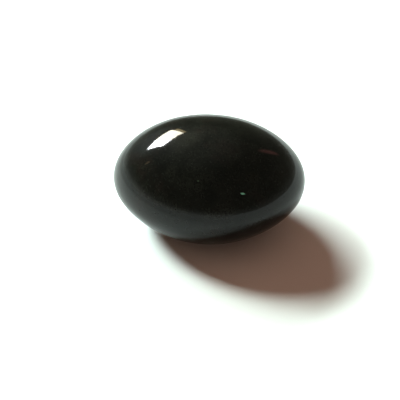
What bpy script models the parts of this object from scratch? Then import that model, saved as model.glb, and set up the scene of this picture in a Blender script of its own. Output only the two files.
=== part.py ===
"""Basalt massage stone: one solid, tumbled and polished pebble, in metres, +Z up.

The long axis of the stone lies along X. The origin is at the centre of the bounding box in plan, and
at the height of the flat face that the stone rests on.
"""

import math

import bmesh
import bpy
from mathutils import Vector

# Driving dimensions
LENGTH = 0.062
WIDTH = 0.049
CROWN_HEIGHT = 0.0215  # top of the dome above the rim
BELLY_DEPTH = 0.0170  # underside below the rim, before the rest face is worn into it
REST_DEPTH = 0.0154  # rest face below the rim

# Form of the pebble
EGG = 0.045  # one end of the plan is fuller than the other, as a part of the radius
EGG_TURN = math.radians(41.0)
TREFOIL = 0.032  # three slight corners in plan, as a part of the radius
TREFOIL_TURN = math.radians(33.5)
CROWN_TAPER = 0.16  # how much the dome draws in towards the rim
BELLY_TAPER = 0.12  # how much the underside draws in towards the rim
RIM_SOFTNESS = 0.2  # half width of the change from belly to crown, as a part of the height

REST_BLEND = 0.0006  # half the height over which the belly turns into the rest face

FINENESS = 5  # subdivisions of the starting ball

STONE_COLOUR = (0.012, 0.013, 0.011, 1.0)
STONE_ROUGHNESS = 0.12


def clear_scene():
    for obj in list(bpy.data.objects):
        bpy.data.objects.remove(obj, do_unlink=True)


def plan_radius(angle):
    """Radius of the outline seen from above, as a part of half the length or width."""
    egg = EGG * math.cos(angle - EGG_TURN)
    corners = TREFOIL * math.cos(3.0 * (angle - TREFOIL_TURN))
    return 1.0 + egg + corners


def rim_blend(height, belly_value, crown_value):
    """A value that changes softly at the rim; height runs from -1 at the bottom to 1 at the top."""
    share = 0.5 + 0.5 * height / math.hypot(height, RIM_SOFTNESS)
    return belly_value + share * (crown_value - belly_value)


def pebble_point(direction):
    """Point of the pebble for a unit direction, measured from the middle of its rim."""
    spread = math.hypot(direction.x, direction.y)
    radius = plan_radius(math.atan2(direction.y, direction.x))
    depth = rim_blend(direction.z, BELLY_DEPTH, CROWN_HEIGHT)
    taper = rim_blend(direction.z, BELLY_TAPER, CROWN_TAPER)
    return Vector((
        0.5 * LENGTH * radius * direction.x,
        0.5 * WIDTH * radius * direction.y,
        depth * direction.z * (1.0 - taper * spread * spread),
    ))


def worn_flat(height):
    """Height above the rest face: zero on the face, with a soft bend where the belly meets it."""
    if height <= -REST_BLEND:
        return 0.0
    if height >= REST_BLEND:
        return height
    return (height + REST_BLEND) ** 2 / (4.0 * REST_BLEND)


def stone_mesh():
    """Closed mesh of the stone, centred in plan, with its rest face at height zero."""
    bm = bmesh.new()
    bmesh.ops.create_icosphere(bm, subdivisions=FINENESS, radius=1.0)
    for vert in bm.verts:
        vert.co = pebble_point(vert.co.normalized())
        vert.co.z = worn_flat(vert.co.z + REST_DEPTH)

    middle_x = 0.5 * (min(v.co.x for v in bm.verts) + max(v.co.x for v in bm.verts))
    middle_y = 0.5 * (min(v.co.y for v in bm.verts) + max(v.co.y for v in bm.verts))
    bmesh.ops.translate(bm, verts=bm.verts[:], vec=(-middle_x, -middle_y, 0.0))

    # The rest face is one flat face
    flat = [face for face in bm.faces if all(v.co.z == 0.0 for v in face.verts)]
    bmesh.ops.dissolve_faces(bm, faces=flat, use_verts=True)

    mesh = bpy.data.meshes.new("massage_stone")
    bm.to_mesh(mesh)
    bm.free()
    mesh.shade_smooth()
    return mesh


def stone_material():
    material = bpy.data.materials.new("polished_basalt")
    material.use_nodes = True
    shader = material.node_tree.nodes["Principled BSDF"]
    shader.inputs["Base Color"].default_value = STONE_COLOUR
    shader.inputs["Roughness"].default_value = STONE_ROUGHNESS
    shader.inputs["Metallic"].default_value = 0.0
    return material


def main():
    clear_scene()
    mesh = stone_mesh()
    mesh.materials.append(stone_material())
    stone = bpy.data.objects.new("massage_stone", mesh)
    bpy.context.scene.collection.objects.link(stone)


main()
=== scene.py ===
"""Looks of the basalt massage stone: a polished black pebble on a pale floor, lit by a window."""

import math
import random

import bmesh
import bpy
from mathutils import Matrix, Vector, noise
from mathutils.kdtree import KDTree


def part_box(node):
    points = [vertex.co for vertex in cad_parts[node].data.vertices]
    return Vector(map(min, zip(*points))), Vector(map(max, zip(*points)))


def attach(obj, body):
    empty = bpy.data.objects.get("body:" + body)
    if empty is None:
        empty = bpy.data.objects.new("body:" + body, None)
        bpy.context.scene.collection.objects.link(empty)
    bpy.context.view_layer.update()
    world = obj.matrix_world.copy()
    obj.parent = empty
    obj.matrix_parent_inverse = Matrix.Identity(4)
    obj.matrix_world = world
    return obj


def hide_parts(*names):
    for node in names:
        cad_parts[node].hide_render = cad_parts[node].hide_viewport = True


MM = 0.001

# The CAD node that the fine stone stands for
NODE = "massage_stone"
BODY = "root"

# Form of the pebble: the same driving dimensions and formula as the CAD solid
LENGTH = 62.0 * MM
WIDTH = 49.0 * MM
CROWN_HEIGHT = 21.5 * MM
BELLY_DEPTH = 17.0 * MM
REST_DEPTH = 15.4 * MM
EGG = 0.045
EGG_TURN = math.radians(41.0)
TREFOIL = 0.032
TREFOIL_TURN = math.radians(33.5)
CROWN_TAPER = 0.16
BELLY_TAPER = 0.12
RIM_SOFTNESS = 0.2
REST_BLEND = 0.6 * MM

# Fine surface of the pebble
FINENESS = 7  # subdivisions of the starting ball
UNDULATION = 0.008 * MM  # height of the broad waves that tumbling leaves
UNDULATION_SCALES = (2.2, 4.5)  # waves per half length of the stone
OUTLINE_STEPS = 1440  # points read from the outline seen from above
PIT_SEED = 11
PIT_COUNT = 26
PIT_HEIGHTS = (-0.9, 0.95)  # from -1 at the bottom of the starting ball to 1 at its top
PIT_RADIUS = (0.22 * MM, 0.5 * MM)
PIT_DEPTH = 0.32  # as a part of the pit's radius
PIT_REACHES = (3.0, 2.4, 1.8)  # each round of refining reaches this many pit radii
BALL_SCALE = 0.4 * LENGTH  # length on the stone of one unit on the starting ball, roughly

# Colours of the rock, and sizes of its patterns in waves or cells per metre
GROUND_DARK = (0.0038, 0.0043, 0.0032, 1.0)
GROUND_PALE = (0.0112, 0.0116, 0.0086, 1.0)
RUST = (0.0112, 0.0068, 0.0052, 1.0)
PALE_CRYSTAL = (0.016, 0.017, 0.014, 1.0)
DARK_CRYSTAL = (0.0014, 0.0014, 0.0012, 1.0)
CLOUD_SCALE = 150.0
RUST_SCALE = 95.0
CRYSTAL_SCALE = 2600.0
SMEAR_SCALE = 120.0
PEEL_SCALE = 900.0
PEEL_HEIGHT = 0.01 * MM
FLECK_EDGE_SCALE = 1800.0

# Mineral flecks, one of them also a painted glint: direction from the middle of the rim, long and
# short radius, tilt, colour
FLECKS = (
    # The olivine fleck is a real mineral fleck, painted much brighter than the mineral as a painted
    # glint where the polish catches light
    ("olivine_with_painted_glint", (0.372, -0.770, 0.512), 0.85 * MM, 0.36 * MM, -18.0, (0.26, 0.62, 0.50)),
    ("pale speck", (-0.03, -0.70, 0.62), 0.3 * MM, 0.25 * MM, 0.0, (0.05, 0.07, 0.045)),
    ("rust streak", (-0.571, -0.466, 0.676), 1.2 * MM, 0.4 * MM, 55.0, (0.036, 0.026, 0.017)),
)

# Finish: a clear polish over a duller body
POLISH = 0.76
POLISH_ROUGHNESS = 0.07
BODY_GLOSS = 0.016
BODY_ROUGHNESS = 0.40
SCUFF_HEIGHT = 0.9 * MM  # the rest face and this much above it are scuffed

# Camera: round the middle of the rim, azimuth 0 looking along +Y
CAMERA_AZIMUTH = 3.4
CAMERA_ELEVATION = 35.0
CAMERA_DISTANCE = 155.6 * MM
CAMERA_LENS = 43.2
CAMERA_SENSOR = 36.0
AIM_LEFT = 1.75 * MM  # the camera aims a little beside and below the middle of the rim
AIM_DOWN = 6.03 * MM

# Azimuths run from the camera's line of sight, positive to the right.
# Window that the stone mirrors, in an upright wall. Each pane: left and right edge along the
# wall, sill and head over the stone, radiance and colour. Lengths are metres on the wall.
WALL_AZIMUTH = -19.0
WALL_DISTANCE = 2.0
PANES = (
    ("left pane", -1.70, -1.12, 1.36, 2.29, 85.0, (0.94, 0.98, 1.0)),
    ("middle pane", -1.12, -0.80, 1.34, 2.29, 32.0, (1.0, 0.98, 0.86)),
    ("right pane", -0.80, -0.41, 1.32, 2.23, 25.0, (1.0, 0.96, 0.82)),
    ("frame", -0.39, -0.26, 1.45, 2.22, 5.0, (1.0, 0.80, 0.45)),
)

# Daylight of the same window on the floor: a row of suns side by side makes a soft oblong light,
# brightest on the left. Each sun: degrees along the row, share of the strength.
DAYLIGHT_AZIMUTH = -44.3
DAYLIGHT_ELEVATION = 36.8
DAYLIGHT_ROLL = -4.0
DAYLIGHT_ROW = ((-12.0, 0.48), (3.0, 0.24), (16.0, 0.28))
DAYLIGHT_SIZE = 14.0
DAYLIGHT_STRENGTH = 10.6
DAYLIGHT_COLOUR = (0.83, 1.0, 0.965)

# Room: warm light that fills the shadow, and what the polish mirrors above the floor
FILL_COLOUR = (0.34, 0.22, 0.167, 1.0)
BACKDROP_COLOUR = (1.3, 1.3, 1.3, 1.0)  # seen by the camera alone
ROOM_COLOUR = (0.22, 0.225, 0.17, 1.0)
# Soft bright ovals in it: azimuth, elevation, half width and half height, tilt, colour
ROOM_GLOWS = (
    ("ceiling", -30.0, 73.0, 47.0, 47.0, 0.0, (0.55, 0.57, 0.48, 1.0)),
    ("over the window", -42.0, 61.0, 24.0, 17.0, 0.0, (0.88, 0.90, 0.73, 1.0)),
    ("under the window", -46.0, 22.0, 24.0, 17.0, 0.0, (0.44, 0.50, 0.48, 1.0)),
    ("red streak", 57.5, 30.0, 2.8, 14.0, 15.0, (1.15, 0.58, 0.50, 1.0)),
)
# Glow over the horizon, strongest to the left
HORIZON_COLOUR = (1.20, 1.30, 1.20, 1.0)
HORIZON_AZIMUTH = -115.0
HORIZON_HALF_WIDTH = 110.0
HORIZON_ALL_ROUND = 0.45  # share of it that shows on every side
HORIZON_HEIGHT = 18.0
HORIZON_FADE = 3.0  # power of its fall with height

# Floor
FLOOR_HALF_SIZE = 4.0
FLOOR_GAP = 0.05 * MM  # between the rest face and the floor
# Painted light: the floor's colour is a painted pool of window light, palest on the window's side
# of the stone and greyer further off
FLOOR_COLOUR = (0.86, 0.86, 0.86, 1.0)
FLOOR_PAINTED_FALLOFF_COLOUR = (0.62, 0.62, 0.62, 1.0)
PAINTED_LIGHT_POOL_AZIMUTH = -60.0  # painted light: the floor is painted palest round a point on the window's side of the stone, a painted pool of window light
PAINTED_LIGHT_POOL_DISTANCE = 60.0 * MM
PAINTED_LIGHT_POOL_FADE = (75.0 * MM, 150.0 * MM)


def link(obj):
    bpy.context.scene.collection.objects.link(obj)
    return obj


# Stone: form


def plan_radius(angle):
    """Radius of the outline seen from above, as a part of half the length or width."""
    egg = EGG * math.cos(angle - EGG_TURN)
    corners = TREFOIL * math.cos(3.0 * (angle - TREFOIL_TURN))
    return 1.0 + egg + corners


def rim_blend(height, belly_value, crown_value):
    """A value that changes softly at the rim; height runs from -1 at the bottom to 1 at the top."""
    share = 0.5 + 0.5 * height / math.hypot(height, RIM_SOFTNESS)
    return belly_value + share * (crown_value - belly_value)


def pebble_point(direction):
    """Point of the pebble for a unit direction, measured from the middle of its rim."""
    spread = math.hypot(direction.x, direction.y)
    radius = plan_radius(math.atan2(direction.y, direction.x))
    depth = rim_blend(direction.z, BELLY_DEPTH, CROWN_HEIGHT)
    taper = rim_blend(direction.z, BELLY_TAPER, CROWN_TAPER)
    return Vector((
        0.5 * LENGTH * radius * direction.x,
        0.5 * WIDTH * radius * direction.y,
        depth * direction.z * (1.0 - taper * spread * spread),
    ))


def worn_flat(height):
    """Height above the rest face: zero on the face, with a soft bend where the belly meets it."""
    if height <= -REST_BLEND:
        return 0.0
    if height >= REST_BLEND:
        return height
    return (height + REST_BLEND) ** 2 / (4.0 * REST_BLEND)


def surface_point(direction):
    """Point of the finished stone, over its rest face."""
    point = pebble_point(direction)
    for scale in UNDULATION_SCALES:
        point += UNDULATION * noise.noise(scale * direction) * direction
    point.z = worn_flat(point.z + REST_DEPTH)
    return point


def pit_list():
    """Small pits, as (direction, radius), spread over the stone by a fixed random draw."""
    rng = random.Random(PIT_SEED)
    pits = []
    for _ in range(PIT_COUNT):
        height = rng.uniform(*PIT_HEIGHTS)
        turn = rng.uniform(0.0, 2.0 * math.pi)
        spread = math.sqrt(1.0 - height * height)
        direction = Vector((spread * math.cos(turn), spread * math.sin(turn), height))
        pits.append((direction, rng.uniform(*PIT_RADIUS)))
    return pits


def vertex_tree(bm):
    """The mesh's vertices, ready for quick searches by place."""
    bm.verts.ensure_lookup_table()
    tree = KDTree(len(bm.verts))
    for v in bm.verts:
        tree.insert(v.co, v.index)
    tree.balance()
    return tree


def refine_round_pits(bm, pits):
    """Divides the ball's edges near each pit, so that the pit is round and not faceted."""
    for reach in PIT_REACHES:
        bm.verts.index_update()
        tree = vertex_tree(bm)
        near = set()
        for direction, radius in pits:
            for _, index, _ in tree.find_range(direction, reach * radius / BALL_SCALE):
                near.update(bm.verts[index].link_edges)
        bmesh.ops.subdivide_edges(bm, edges=list(near), cuts=1, use_grid_fill=True)
        bmesh.ops.triangulate(bm, faces=[f for f in bm.faces if len(f.verts) > 3])


def press_pits(bm, pits):
    """Pushes the surface in at each pit, with a smooth lip."""
    bm.normal_update()
    bm.verts.index_update()
    tree = vertex_tree(bm)
    for direction, radius in pits:
        for _, index, distance in tree.find_range(surface_point(direction), radius):
            away = distance / radius
            v = bm.verts[index]
            v.co -= PIT_DEPTH * radius * (1.0 - away * away) ** 2 * v.normal


def fit_to_box(bm, low, high):
    """Scales and moves the mesh so that its box is the CAD node's box."""
    for axis in range(3):
        values = [v.co[axis] for v in bm.verts]
        start = min(values)
        scale = (high[axis] - low[axis]) / (max(values) - start)
        for v in bm.verts:
            v.co[axis] = low[axis] + (v.co[axis] - start) * scale


def rim_middle():
    """Place of the middle of the rim: the outline seen from above fills the CAD node's box."""
    turns = [2.0 * math.pi * step / OUTLINE_STEPS for step in range(OUTLINE_STEPS)]
    outline = [pebble_point(Vector((math.cos(turn), math.sin(turn), 0.0))) for turn in turns]
    low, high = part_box(NODE)
    middle = Vector((0.0, 0.0, low[2] + REST_DEPTH))
    for axis in range(2):
        values = [point[axis] for point in outline]
        middle[axis] = 0.5 * (low[axis] + high[axis]) - 0.5 * (min(values) + max(values))
    return middle


def make_stone(material):
    """The fine stone, as large as the CAD node and in its place."""
    bm = bmesh.new()
    bmesh.ops.create_icosphere(bm, subdivisions=FINENESS, radius=1.0)
    pits = pit_list()
    refine_round_pits(bm, pits)
    for v in bm.verts:
        v.co = surface_point(v.co.normalized())
    press_pits(bm, pits)
    fit_to_box(bm, *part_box(NODE))
    mesh = bpy.data.meshes.new("polished_stone")
    bm.to_mesh(mesh)
    bm.free()
    mesh.shade_smooth()
    mesh.materials.append(material)
    return link(bpy.data.objects.new("polished_stone", mesh))


# Stone: finish


class Nodes:
    """Short calls for building one material's or world's node tree."""

    def __init__(self, owner):
        owner.use_nodes = True
        self.tree = owner.node_tree

    def add(self, kind, inputs=None, **settings):
        node = self.tree.nodes.new(kind)
        for name, value in settings.items():
            setattr(node, name, value)
        for name, value in (inputs or {}).items():
            self.put(node.inputs[name], value)
        return node

    def put(self, socket, value):
        if isinstance(value, bpy.types.NodeSocket):
            self.tree.links.new(value, socket)
        else:
            socket.default_value = value

    def math(self, operation, a, b=0.0, clamp=False):
        node = self.add("ShaderNodeMath", operation=operation, use_clamp=clamp)
        self.put(node.inputs[0], a)
        self.put(node.inputs[1], b)
        return node.outputs[0]

    def noise(self, where, scale, detail=2.0, roughness=0.5):
        node = self.add("ShaderNodeTexNoise", {
            "Vector": where, "Scale": scale, "Detail": detail, "Roughness": roughness,
        })
        return node.outputs["Fac"]

    def band(self, value, low, high, to_low=0.0, to_high=1.0):
        """Maps value from low..high to to_low..to_high, clamped, with soft ends."""
        node = self.add("ShaderNodeMapRange", {
            "Value": value, "From Min": low, "From Max": high,
            "To Min": to_low, "To Max": to_high,
        }, interpolation_type="SMOOTHSTEP")
        return node.outputs["Result"]

    def mix(self, share, a, b):
        node = self.add("ShaderNodeMix", data_type="RGBA")
        self.put(node.inputs["Factor"], share)
        self.put(node.inputs[6], a)
        self.put(node.inputs[7], b)
        return node.outputs[2]


def oval_distance(n, where, middle, outward, radii, tilt):
    """Distance from middle in an upright oval that faces outward: 1 on its edge."""
    along = Vector((0.0, 0.0, 1.0)).cross(outward).normalized()
    upright = Matrix((along, outward.cross(along), outward)).transposed()
    turn = upright @ Matrix.Rotation(math.radians(tilt), 3, "Z")
    local = n.add("ShaderNodeMapping", {
        "Vector": where, "Location": tuple(middle), "Rotation": tuple(turn.to_euler()),
        "Scale": radii,
    }, vector_type="TEXTURE")
    away = n.add("ShaderNodeVectorMath", {0: local.outputs[0]}, operation="LENGTH")
    return away.outputs["Value"]


def fleck_share(n, where, spot, outward, long_radius, short_radius, tilt):
    """1 inside a small ragged oval on the surface round spot, 0 outside."""
    radii = (long_radius, short_radius, long_radius)
    away = oval_distance(n, where, spot, outward, radii, tilt)
    ragged = n.math("MULTIPLY", n.noise(where, FLECK_EDGE_SCALE, 3.0), 0.9)
    return n.band(n.math("ADD", away, ragged), 1.45, 0.95)


def basalt_material(middle):
    """Polished basalt: near-black ground with faint clouds, fine crystals and a few flecks, one of
    them painted bright as a glint.
    """
    material = bpy.data.materials.new("polished basalt")
    n = Nodes(material)
    where = n.add("ShaderNodeTexCoord").outputs["Object"]

    # Ground colour: dark clouds, and a fine grain of darker and lighter crystals
    clouds = n.band(n.noise(where, CLOUD_SCALE, 5.0, 0.6), 0.36, 0.66)
    colour = n.mix(clouds, GROUND_DARK, GROUND_PALE)
    rust = n.band(n.noise(where, RUST_SCALE, 4.0, 0.65), 0.52, 0.68, 0.0, 0.7)
    colour = n.mix(rust, colour, RUST)
    cells = n.add("ShaderNodeTexVoronoi", {"Vector": where, "Scale": CRYSTAL_SCALE})
    crystal = n.add("ShaderNodeSeparateColor", {"Color": cells.outputs["Color"]})
    pale = n.band(crystal.outputs[0], 0.86, 0.97, 0.0, 0.6)
    colour = n.mix(pale, colour, PALE_CRYSTAL)
    dark = n.band(crystal.outputs[1], 0.70, 0.85, 0.0, 0.7)
    colour = n.mix(dark, colour, DARK_CRYSTAL)

    # Flecks of other minerals; the olivine fleck is also painted bright as a painted glint
    for _, direction, long_radius, short_radius, tilt, fleck_colour in FLECKS:
        outward = Vector(direction).normalized()
        spot = pebble_point(outward) + middle
        inside = fleck_share(n, where, spot, outward, long_radius, short_radius, tilt)
        colour = n.mix(inside, colour, (*fleck_colour, 1.0))

    # Sheen under the polish: uneven crystals, faint smears, and a scuffed rest face
    smear = n.band(n.noise(where, SMEAR_SCALE, 3.0, 0.6), 0.40, 0.72, 0.0, 0.12)
    grain = n.band(crystal.outputs[2], 0.55, 0.95, 0.0, 0.10)
    rough = n.math("ADD", n.math("ADD", smear, grain), BODY_ROUGHNESS)
    height = n.add("ShaderNodeSeparateXYZ", {"Vector": where}).outputs["Z"]
    scuffed = n.band(height, SCUFF_HEIGHT, 0.1 * MM, 0.0, 0.3)
    rough = n.math("ADD", rough, scuffed, clamp=True)

    # Surface: a very fine orange-peel
    peel = n.noise(where, PEEL_SCALE)
    bump = n.add("ShaderNodeBump", {"Strength": 0.25, "Distance": PEEL_HEIGHT, "Height": peel})

    shader = n.tree.nodes["Principled BSDF"]
    n.put(shader.inputs["Base Color"], colour)
    n.put(shader.inputs["Roughness"], rough)
    n.put(shader.inputs["Normal"], bump.outputs["Normal"])
    shader.inputs["IOR"].default_value = 1.5
    shader.inputs["Specular IOR Level"].default_value = BODY_GLOSS
    shader.inputs["Coat Weight"].default_value = POLISH
    shader.inputs["Coat Roughness"].default_value = POLISH_ROUGHNESS
    return material


# Floor, lights, room and camera


def toward(azimuth, elevation):
    """Unit vector from the stone; azimuth 0 is away from the camera and positive to its right."""
    a = math.radians(azimuth - CAMERA_AZIMUTH)
    e = math.radians(elevation)
    return Vector((math.sin(a) * math.cos(e), math.cos(a) * math.cos(e), math.sin(e)))


def floor_material():
    """Pale paper with a painted pool of window light: greyer away from the window; both shades are
    white in its light.
    """
    material = bpy.data.materials.new("pale floor")
    n = Nodes(material)
    where = n.add("ShaderNodeTexCoord").outputs["Object"]
    # Painted light: the paper is painted palest round a point on the window's side and greyer away
    # from it
    pool = tuple(toward(PAINTED_LIGHT_POOL_AZIMUTH, 0.0) * PAINTED_LIGHT_POOL_DISTANCE)
    away = n.add("ShaderNodeVectorMath", {0: where, 1: pool}, operation="DISTANCE")
    share = n.band(away.outputs["Value"], *PAINTED_LIGHT_POOL_FADE)
    shader = n.tree.nodes["Principled BSDF"]
    n.put(shader.inputs["Base Color"], n.mix(share, FLOOR_COLOUR, FLOOR_PAINTED_FALLOFF_COLOUR))
    shader.inputs["Roughness"].default_value = 0.9
    shader.inputs["Specular IOR Level"].default_value = 0.1
    return material


def make_floor():
    """A wide sheet just under the rest face."""
    bm = bmesh.new()
    bmesh.ops.create_grid(bm, x_segments=1, y_segments=1, size=FLOOR_HALF_SIZE)
    mesh = bpy.data.meshes.new("floor")
    bm.to_mesh(mesh)
    bm.free()
    mesh.materials.append(floor_material())
    floor = link(bpy.data.objects.new("floor", mesh))
    floor.location.z = -FLOOR_GAP


def make_light(name, kind, place, facing, **settings):
    """A lamp at place that shines along facing's -Z; the camera doesn't see it."""
    data = bpy.data.lights.new(name, kind)
    for key, value in settings.items():
        setattr(data, key, value)
    light = link(bpy.data.objects.new(name, data))
    light.location = place
    light.rotation_mode = "QUATERNION"
    light.rotation_quaternion = facing
    light.visible_camera = False
    return light


def make_daylight(middle):
    """A row of suns along the window's long side."""
    roll = math.radians(DAYLIGHT_ROLL)
    for offset, share in DAYLIGHT_ROW:
        sideways = offset * math.cos(roll) / math.cos(math.radians(DAYLIGHT_ELEVATION))
        direction = toward(
            DAYLIGHT_AZIMUTH + sideways,
            DAYLIGHT_ELEVATION + offset * math.sin(roll),
        )
        sun = make_light(
            "daylight", "SUN", middle + direction, (-direction).to_track_quat("-Z", "Y"),
            energy=DAYLIGHT_STRENGTH * share,
            angle=math.radians(DAYLIGHT_SIZE), color=DAYLIGHT_COLOUR,
        )
        sun.visible_glossy = False


def make_window(middle):
    """The panes that the polish mirrors; they add nothing to the diffuse light."""
    outward = toward(WALL_AZIMUTH, 0.0)
    sideways = toward(WALL_AZIMUTH + 90.0, 0.0)
    facing = (-outward).to_track_quat("-Z", "Y")
    for name, left, right, sill, head, radiance, colour in PANES:
        width = right - left
        height = head - sill
        place = middle + outward * WALL_DISTANCE + sideways * 0.5 * (left + right)
        place.z += 0.5 * (sill + head)
        pane = make_light(
            name, "AREA", place, facing, shape="RECTANGLE", size=width, size_y=height,
            energy=radiance * math.pi * width * height, color=colour,
        )
        pane.visible_diffuse = False


def glow_share(n, direction, azimuth, elevation, half_width, half_height, tilt):
    """1 in the middle of a soft oval of the sky, 0 outside it; all angles in degrees."""
    outward = toward(azimuth, elevation)
    width, height = (2.0 * math.sin(math.radians(0.5 * a)) for a in (half_width, half_height))
    away = oval_distance(n, direction, outward, outward, (width, height, width), tilt)
    return n.band(n.math("MULTIPLY", away, away), 1.0, 0.0)


def make_room():
    """White to the camera, warm to the floor; the polish mirrors a dim room over a horizon."""
    world = bpy.data.worlds.new("room")
    n = Nodes(world)
    direction = n.add("ShaderNodeTexCoord").outputs["Generated"]
    seen = ROOM_COLOUR
    for _, azimuth, elevation, half_width, half_height, tilt, colour in ROOM_GLOWS:
        share = glow_share(n, direction, azimuth, elevation, half_width, half_height, tilt)
        seen = n.mix(share, seen, colour)
    height = n.add("ShaderNodeSeparateXYZ", {"Vector": direction}).outputs["Z"]
    top = math.sin(math.radians(HORIZON_HEIGHT))
    lowness = n.math("DIVIDE", n.math("SUBTRACT", top, height, clamp=True), top, clamp=True)
    lowness = n.math("POWER", lowness, HORIZON_FADE)
    width = HORIZON_HALF_WIDTH
    side = glow_share(n, direction, HORIZON_AZIMUTH, 0.0, width, width, 0.0)
    side = n.math("ADD", side, HORIZON_ALL_ROUND)
    seen = n.mix(n.math("MULTIPLY", lowness, side, clamp=True), seen, HORIZON_COLOUR)

    fill = n.tree.nodes["Background"]
    fill.inputs["Color"].default_value = FILL_COLOUR
    mirrored = n.add("ShaderNodeBackground", {"Color": seen})
    backdrop = n.add("ShaderNodeBackground", {"Color": BACKDROP_COLOUR})
    path = n.add("ShaderNodeLightPath")
    around = n.add("ShaderNodeMixShader", {
        0: path.outputs["Is Glossy Ray"], 1: fill.outputs[0], 2: mirrored.outputs[0],
    })
    shown = n.add("ShaderNodeMixShader", {
        0: path.outputs["Is Camera Ray"], 1: around.outputs[0], 2: backdrop.outputs[0],
    })
    n.put(n.tree.nodes["World Output"].inputs["Surface"], shown.outputs[0])
    bpy.context.scene.world = world


def make_camera(middle):
    back = -toward(0.0, -CAMERA_ELEVATION)
    right = Vector((0.0, 0.0, 1.0)).cross(back).normalized()
    up = back.cross(right)
    data = bpy.data.cameras.new("camera")
    data.lens = CAMERA_LENS
    data.sensor_width = CAMERA_SENSOR
    data.clip_start = 1.0 * MM
    data.clip_end = 100.0
    camera = link(bpy.data.objects.new("camera", data))
    camera.location = middle + back * CAMERA_DISTANCE
    aim = middle - right * AIM_LEFT - up * AIM_DOWN
    camera.rotation_mode = "QUATERNION"
    camera.rotation_quaternion = (aim - camera.location).to_track_quat("-Z", "Y")
    bpy.context.scene.camera = camera


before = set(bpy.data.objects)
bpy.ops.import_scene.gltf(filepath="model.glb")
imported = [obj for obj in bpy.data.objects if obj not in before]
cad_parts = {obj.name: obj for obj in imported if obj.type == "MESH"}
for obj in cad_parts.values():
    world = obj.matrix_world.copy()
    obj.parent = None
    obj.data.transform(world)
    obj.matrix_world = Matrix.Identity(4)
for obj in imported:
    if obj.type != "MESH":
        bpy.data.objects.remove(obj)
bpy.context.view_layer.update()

middle = rim_middle()
stone = make_stone(basalt_material(middle))
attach(stone, BODY)
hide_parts(NODE)

make_floor()
make_daylight(middle)
make_window(middle)
make_room()
make_camera(middle)
bpy.context.scene.view_settings.view_transform = "Standard"
bpy.context.scene.view_settings.gamma = 0.8
